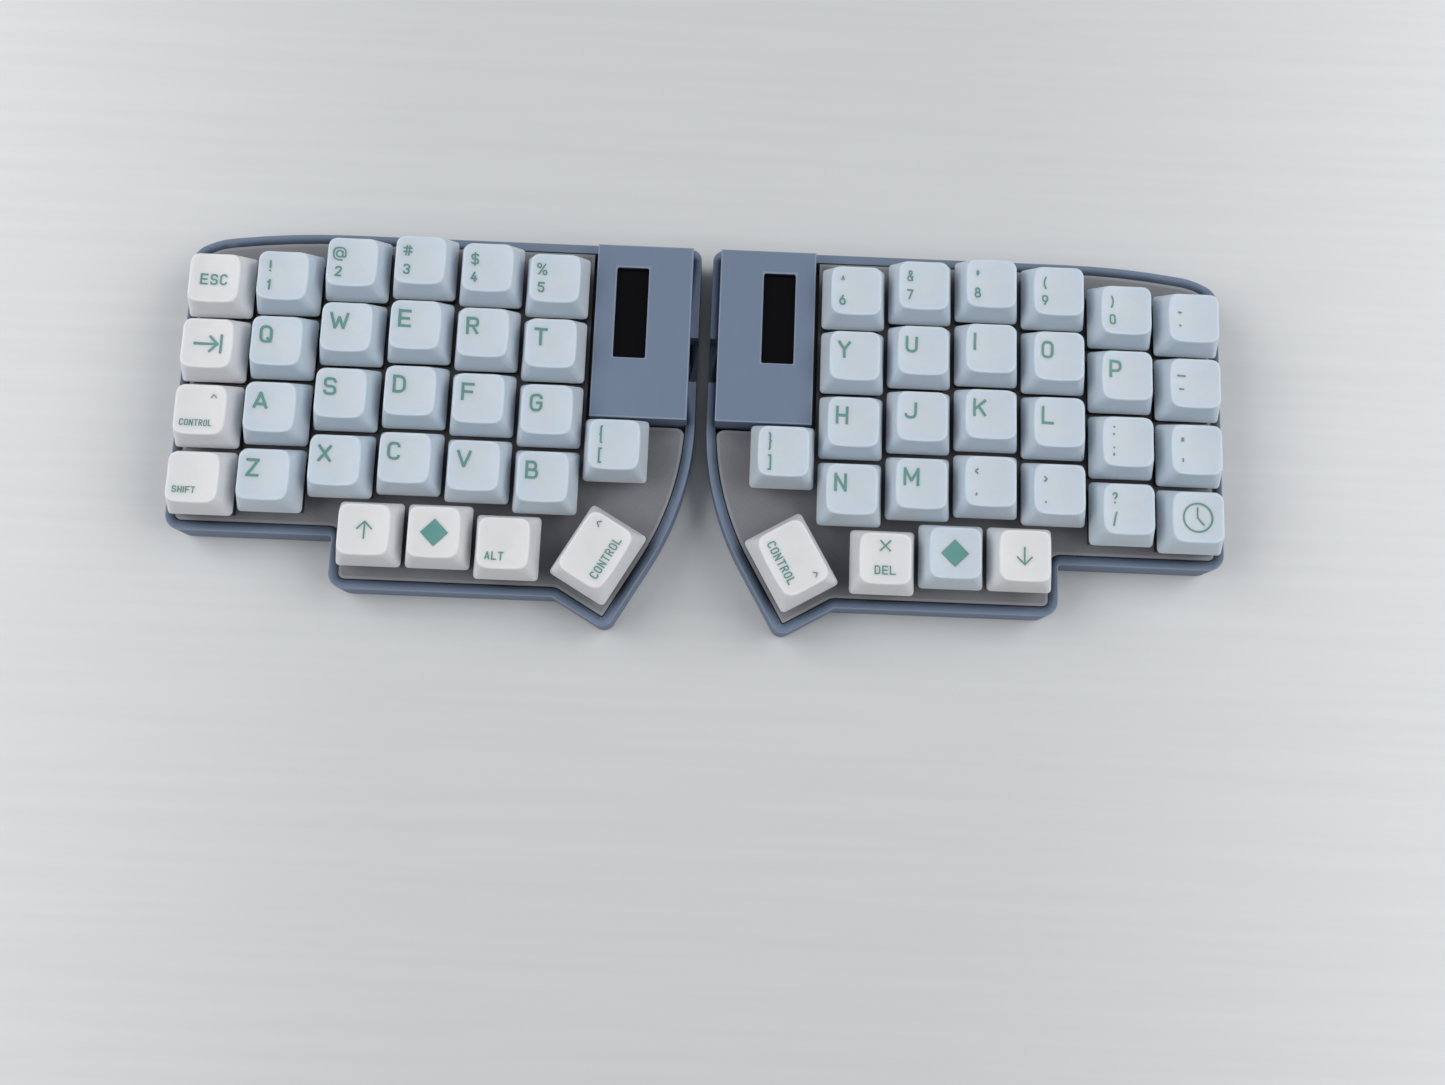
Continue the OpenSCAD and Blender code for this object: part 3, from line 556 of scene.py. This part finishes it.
wordForm = {"control": ("CONTROL", (-5.3, -4.6), (8.8, 1.9), 0.25),  # letters, corner, size and stroke
            "shift": ("SHIFT", (-5.3, -4.4), (6.1, 1.9), 0.25),
            "alt": ("ALT", (-4.9, -4.65), (5.0, 2.35), 0.33),
            "esc": ("ESC", (-4.0, -1.85), (7.5, 3.2), 0.5),
            "delete": ("DEL", (-2.85, -4.4), (5.7, 2.5), 0.36),
            "longControl": ("CONTROL", (-6.7, -4.6), (12.7, 2.5), 0.36)}
caretForm = {"control": (3.4, 3.95, 0.25), "longControl": (6.7, 3.4, 0.3)}
barForm = {"tab": (0.7, ((-3.6, 0), (2.6, 0)), ((0.4, 2.2), (2.6, 0)), ((0.4, -2.2), (2.6, 0)),
                   ((3.7, -2.4), (3.7, 2.4))),
           "delete": (0.38, ((-1.4, 2.2), (1.4, 5.0)), ((-1.4, 5.0), (1.4, 2.2))),
           "clock": (0.45, ((0, 0), (0, 2.7)), ((0, 0), (1.7, -2.0)))}
hoopForm = {"clock": (3.95, 0.5)}
arrowForm = {"up": (1, 2.3, 2.05, 0.42), "down": (-1, 2.3, 2.05, 0.42)}
diamondForm = {"plain": (5.4,)}
markKinds = ((hoop, hoopForm), (bars, barForm), (caret, caretForm), (word, wordForm), (arrow, arrowForm),
             (diamond, diamondForm))


def marksFor(label):  # every mark on one cap, by what the key is for
    marks = [draw(*forms[label]) for draw, forms in markKinds if label in forms]
    if marks:
        return marks
    if len(label) == 2:
        return [sign(label[0], True), sign(label[1], False)]
    form = letterForm
    size = (letterWide.get(label, form["wide"]), form["tall"])
    return [strokes(glyph(label, (form["left"], form["foot"]), size, form["stroke"]), form["stroke"])]


def stamp(bm, label, turn, inkIndex):  # lays the marks of a cap on its dish
    form = markForm
    for mark in marksFor(label):
        bmesh.ops.remove_doubles(mark, verts=mark.verts, dist=form["merge"])
        bmesh.ops.triangulate(mark, faces=mark.faces)
        for _ in range(form["cuts"]):
            wide = [edge for edge in mark.edges if edge.calc_length() > form["longest"]]
            if wide:
                bmesh.ops.subdivide_edges(mark, edges=wide, cuts=1)
                bmesh.ops.triangulate(mark, faces=mark.faces)
        if turn:
            bmesh.ops.rotate(mark, cent=(0, 0, 0), matrix=Matrix.Rotation(turn, 3, "Z"), verts=mark.verts)
        for vert in mark.verts:
            vert.co.z = dishHeight(vert.co) + (form["over"] if vert.co.z > 0 else -form["under"])
        for face in mark.faces:
            face.material_index = inkIndex
        bmesh.ops.recalc_face_normals(mark, faces=mark.faces)
        join(bm, mark)


# where the keys of a half stand, in mm from its outer number key, and what they are for
field = {"pitch": 19.05, "rises": (0.0, 1.5, 6.3, 7.75, 6.35, 4.0), "middle": (137.65, -36.19342),
         "skirt": 17.1, "bracket": (114.3, -43.2435), "long": (110.871, -72.9615),
         "thumbs": ((47.625, -69.723), (66.675, -69.723), (85.725, -72.009)), "longTurn": math.radians(30),
         "sharp": math.radians(35)}
rows = {"left": (("esc", "!1", "@2", "#3", "$4", "%5"), ("tab", "Q", "W", "E", "R", "T"),
                 ("control", "A", "S", "D", "F", "G"), ("shift", "Z", "X", "C", "V", "B")),
        "right": (("~`", ")0", "(9", "*8", "&7", "^6"), ("_-", "P", "O", "I", "U", "Y"),
                  ("\"'", ":;", "L", "K", "J", "H"), ("clock", "?/", ">.", "<,", "M", "N"))}
brackets = {"left": "{[", "right": "}]"}
thumbRows = {"left": ("up", "plain", "alt"), "right": ("down", "plain", "delete")}
spoken = {":;": "semicolon", "<,": "comma", ">.": "period", "?/": "slash"}
whiteLabels = {"esc", "tab", "control", "shift", "alt", "up", "down", "delete", "longControl"}


def placeOf(side, x, y):  # a place on one half, in the frame
    across, along = x - field["middle"][0], y - field["middle"][1]
    return Vector((across if side == "left" else -across, along, field["skirt"])) * mm


def keyList(side):  # node, label, place, blank, turn of the cap and turn of its marks
    border = side + "_border_keys"
    found = []
    for r, row in enumerate(rows[side]):
        for c, label in enumerate(row):
            place = placeOf(side, c * field["pitch"], field["rises"][c] - r * field["pitch"])
            node = border if c == 0 or r == 0 else "key_" + spoken.get(label, label.lower())
            found.append((node, label, place, "plain", 0.0, 0.0))
    found.append((border, brackets[side], placeOf(side, *field["bracket"]), "plain", 0.0, 0.0))
    for name, label, spot in zip(("outer", "middle", "inner"), thumbRows[side], field["thumbs"]):
        found.append((f"{side}_thumb_{name}", label, placeOf(side, *spot), "plain", 0.0, 0.0))
    way = -1 if side == "left" else 1
    found.append((f"{side}_thumb_long", "longControl", placeOf(side, *field["long"]), "long",
                  way * field["longTurn"], -way * math.pi / 2))
    return found


def oneKey(key, plasticIndex, inkIndex, stemIndex):  # cap, stem and marks of one key in its place
    label, place, blank, turn, markTurn = key[1:]
    seat = Matrix.Translation(place) @ Matrix.Rotation(turn, 4, "Z")
    bm = bmesh.new()
    bm.from_mesh(capBlanks[blank])
    for face in bm.faces:
        face.material_index = stemIndex if face.material_index == stemForm["mark"] else plasticIndex
        face.smooth = True
    stamp(bm, label, markTurn, inkIndex)
    bmesh.ops.scale(bm, vec=(mm, mm, mm), verts=bm.verts)
    bmesh.ops.transform(bm, matrix=seat, verts=bm.verts)
    return bm


def buildKeys(side):
    groups = {}
    for key in keyList(side):
        groups.setdefault(key[0], []).append(key)
    for node, keys in groups.items():
        whites = [key[1] in whiteLabels or (key[1] == "plain" and side == "left") for key in keys]
        kinds = [kind for kind, used in (("capBlue", not all(whites)), ("capWhite", any(whites))) if used]
        kinds += ["legendInk", "stemPlastic"]
        whole = bmesh.new()
        for key, white in zip(keys, whites):
            plastic = kinds.index("capWhite" if white else "capBlue")
            join(whole, oneKey(key, plastic, kinds.index("legendInk"), kinds.index("stemPlastic")))
        piece = newPiece(plainName(node) + "Cap", whole)
        piece.data.set_sharp_from_angle(angle=field["sharp"])
        for kind in kinds:
            piece.data.materials.append(looks[kind])
        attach(piece, node)
        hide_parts(node)
    print(side, "key pieces made:", len(groups))


buildKeys("left")
buildKeys("right")
for blank in capBlanks.values():
    bpy.data.meshes.remove(blank)

# the look and the record's slot of every other piece
dressing = {"case": ("casePrint", "case_print"), "switch_plate": ("platePrint", "plate_print"),
            "circuit_board": ("boardMask", "circuit_board"),
            "switch_housings": ("switchPlastic", "switch_plastic"),
            "controller": ("controllerMix", "controller"), "screen": ("screenGlass", "screen"),
            "screen_cover": ("casePrint", "case_print"), "link_jack": ("jackPlastic", "jack_plastic"),
            "screws": ("screwSteel", "screw_steel"), "feet": ("footRubber", "foot_rubber")}
copyForm = {"merge": 0.002, "sharp": math.radians(28)}
ringForm = {"step": 0.4, "groove": 0.03, "rings": 2, "merge": 0.16, "level": 0.99, "look": "plateRing"}


def ringTop(bm):  # the lines that a printer lays along every outline of a plate's top
    form = ringForm
    bm.normal_update()
    top = max(vert.co.z for vert in bm.verts) - form["groove"] * mm
    flat = [face for face in bm.faces
            if face.normal.z > form["level"] and face.calc_center_median().z > top]
    for half in range(2 * form["rings"]):  # down into a groove and up again
        dip = form["groove"] * mm * (1 if half % 2 else -1)
        ring = bmesh.ops.inset_region(bm, faces=flat, thickness=form["step"] * mm / 2, depth=dip,
                                      use_even_offset=True, use_boundary=True)["faces"]
        for face in ring:
            face.material_index = 1  # the plate's second look
        inner = once(vert for face in flat for vert in face.verts)
        bmesh.ops.remove_doubles(bm, verts=inner, dist=form["merge"] * mm)
        flat = [face for face in flat if face.is_valid]


def smoothCopy(side, part):  # merged copy of a CAD piece with smooth round faces and crisp edges
    node = f"{side}_{part}"
    look, slotName = dressing[part]
    bm = bmesh.new()
    bm.from_mesh(nodes[node].data)
    bmesh.ops.remove_doubles(bm, verts=bm.verts, dist=copyForm["merge"] * mm)
    for face in bm.faces:
        face.smooth = True
        face.material_index = 0
    if part == "switch_plate":
        ringTop(bm)
    piece = newPiece(plainName(node), bm)
    mesh = piece.data
    mesh.set_sharp_from_angle(angle=copyForm["sharp"])
    mesh.materials.append(looks[look])
    if part == "switch_plate":
        mesh.materials.append(looks[ringForm["look"]])
    weigh = piece.modifiers.new("flatFaces", "WEIGHTED_NORMAL")  # wide faces stay flat beside small ones
    weigh.keep_sharp = True
    bpy.context.view_layer.update()
    even = bpy.data.meshes.new_from_object(piece.evaluated_get(bpy.context.evaluated_depsgraph_get()))
    piece.modifiers.clear()
    piece.data = even
    bpy.data.meshes.remove(mesh)
    even.name = piece.name
    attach(piece, side + "_half")
    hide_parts(node)


for side in ("left", "right"):
    for part in dressing:
        smoothCopy(side, part)
print("case pieces made:", 2 * len(dressing))

# the desk: streaks along x, painted light that makes it paler to the sides and darker in the middle, and a
# plain pale backdrop far off; reaches in square metres
deskForm = {"half": 1.6, "middle": ((202, 204, 205), (211, 213, 214)),
            "sides": ((221, 223, 225), (233, 235, 237)), "far": (218, 219, 221), "streak": (9.0, 260.0),
            "rough": 0.55, "paintedLightReach": (0.008, 0.06), "sideDepth": 0.12, "farReach": (0.2, 0.6)}
deskLook, deskShader, deskPlace = newLook("deskPale")
deskX, deskY = deskPlace.parts()[:2]
streaks = {0: deskX * deskForm["streak"][0], 1: deskY * deskForm["streak"][1], 2: 0.0}
grain = deskPlace.make("ShaderNodeCombineXYZ", streaks).noise(1.0, detail=3.0)
# painted light: the desk turns from the darker middle tone to the paler side tone away from the middle
aside = (deskX * deskX + deskY * deskY * deskForm["sideDepth"]).fade(*deskForm["paintedLightReach"])
tones = [grain.blend(*tints(deskForm[part])) for part in ("middle", "sides")]
dress(deskShader, deskPlace, aside.blend(*tones), deskForm["rough"])
farOff = (deskX * deskX + deskY * deskY).fade(*deskForm["farReach"]) * looking(deskPlace)
bare = Wire(deskPlace.tree, deskShader.outputs["BSDF"])
backdrop = deskPlace.make("ShaderNodeEmission", {"Color": tint(*deskForm["far"])})
surface = deskPlace.make("ShaderNodeMixShader", {0: farOff, 1: bare, 2: backdrop})
feed(deskPlace.tree, deskPlace.tree.nodes["Material Output"].inputs["Surface"], surface)
deskBm = bmesh.new()
bmesh.ops.create_grid(deskBm, x_segments=1, y_segments=1, size=deskForm["half"])
desk = newPiece("desk", deskBm)
desk.data.materials.append(deskLook)
print("desk made")

lamps = {"leftSoft": {"at": (-0.85, 0.06, 0.92), "size": (1.4, 0.7), "watts": 9.0},
         "rightSoft": {"at": (0.85, 0.06, 0.92), "size": (1.4, 0.7), "watts": 9.0}}
for name, lamp in lamps.items():
    light = bpy.data.lights.new(name, "AREA")
    light.shape = "RECTANGLE"
    light.size, light.size_y = lamp["size"]
    light.energy = lamp["watts"]
    holder = bpy.data.objects.new(name, light)
    holder.location = lamp["at"]
    holder.rotation_euler = (-Vector(lamp["at"])).to_track_quat("-Z", "Y").to_euler()
    bpy.context.scene.collection.objects.link(holder)

room = {"light": 0.24, "pale": 0.7, "colour": (0.97, 0.985, 1.0, 1.0)}
world = bpy.data.worlds.new("studio")
world.use_nodes = True
background = world.node_tree.nodes["Background"]
background.inputs["Color"].default_value = room["colour"]
strength = looking(Wire(world.node_tree)).span(room["light"], room["pale"])
feed(world.node_tree, background.inputs["Strength"], strength)
bpy.context.scene.world = world
bpy.context.scene.view_settings.view_transform = "Standard"
print("light made")

shot = {"at": (0.00509, -0.09491, 0.38008), "turn": (9.8366, -0.7683, 2.1937), "lens": 33.019,
        "sensor": 36.0, "nearest": 0.01}
camera = bpy.data.cameras.new("shot")
camera.lens = shot["lens"]
camera.sensor_width = shot["sensor"]
camera.sensor_fit = "HORIZONTAL"
camera.clip_start = shot["nearest"]
eye = bpy.data.objects.new("shot", camera)
eye.location = shot["at"]
eye.rotation_euler = Euler([math.radians(angle) for angle in shot["turn"]], "XYZ")
bpy.context.scene.collection.objects.link(eye)
bpy.context.scene.camera = eye
print("camera made")
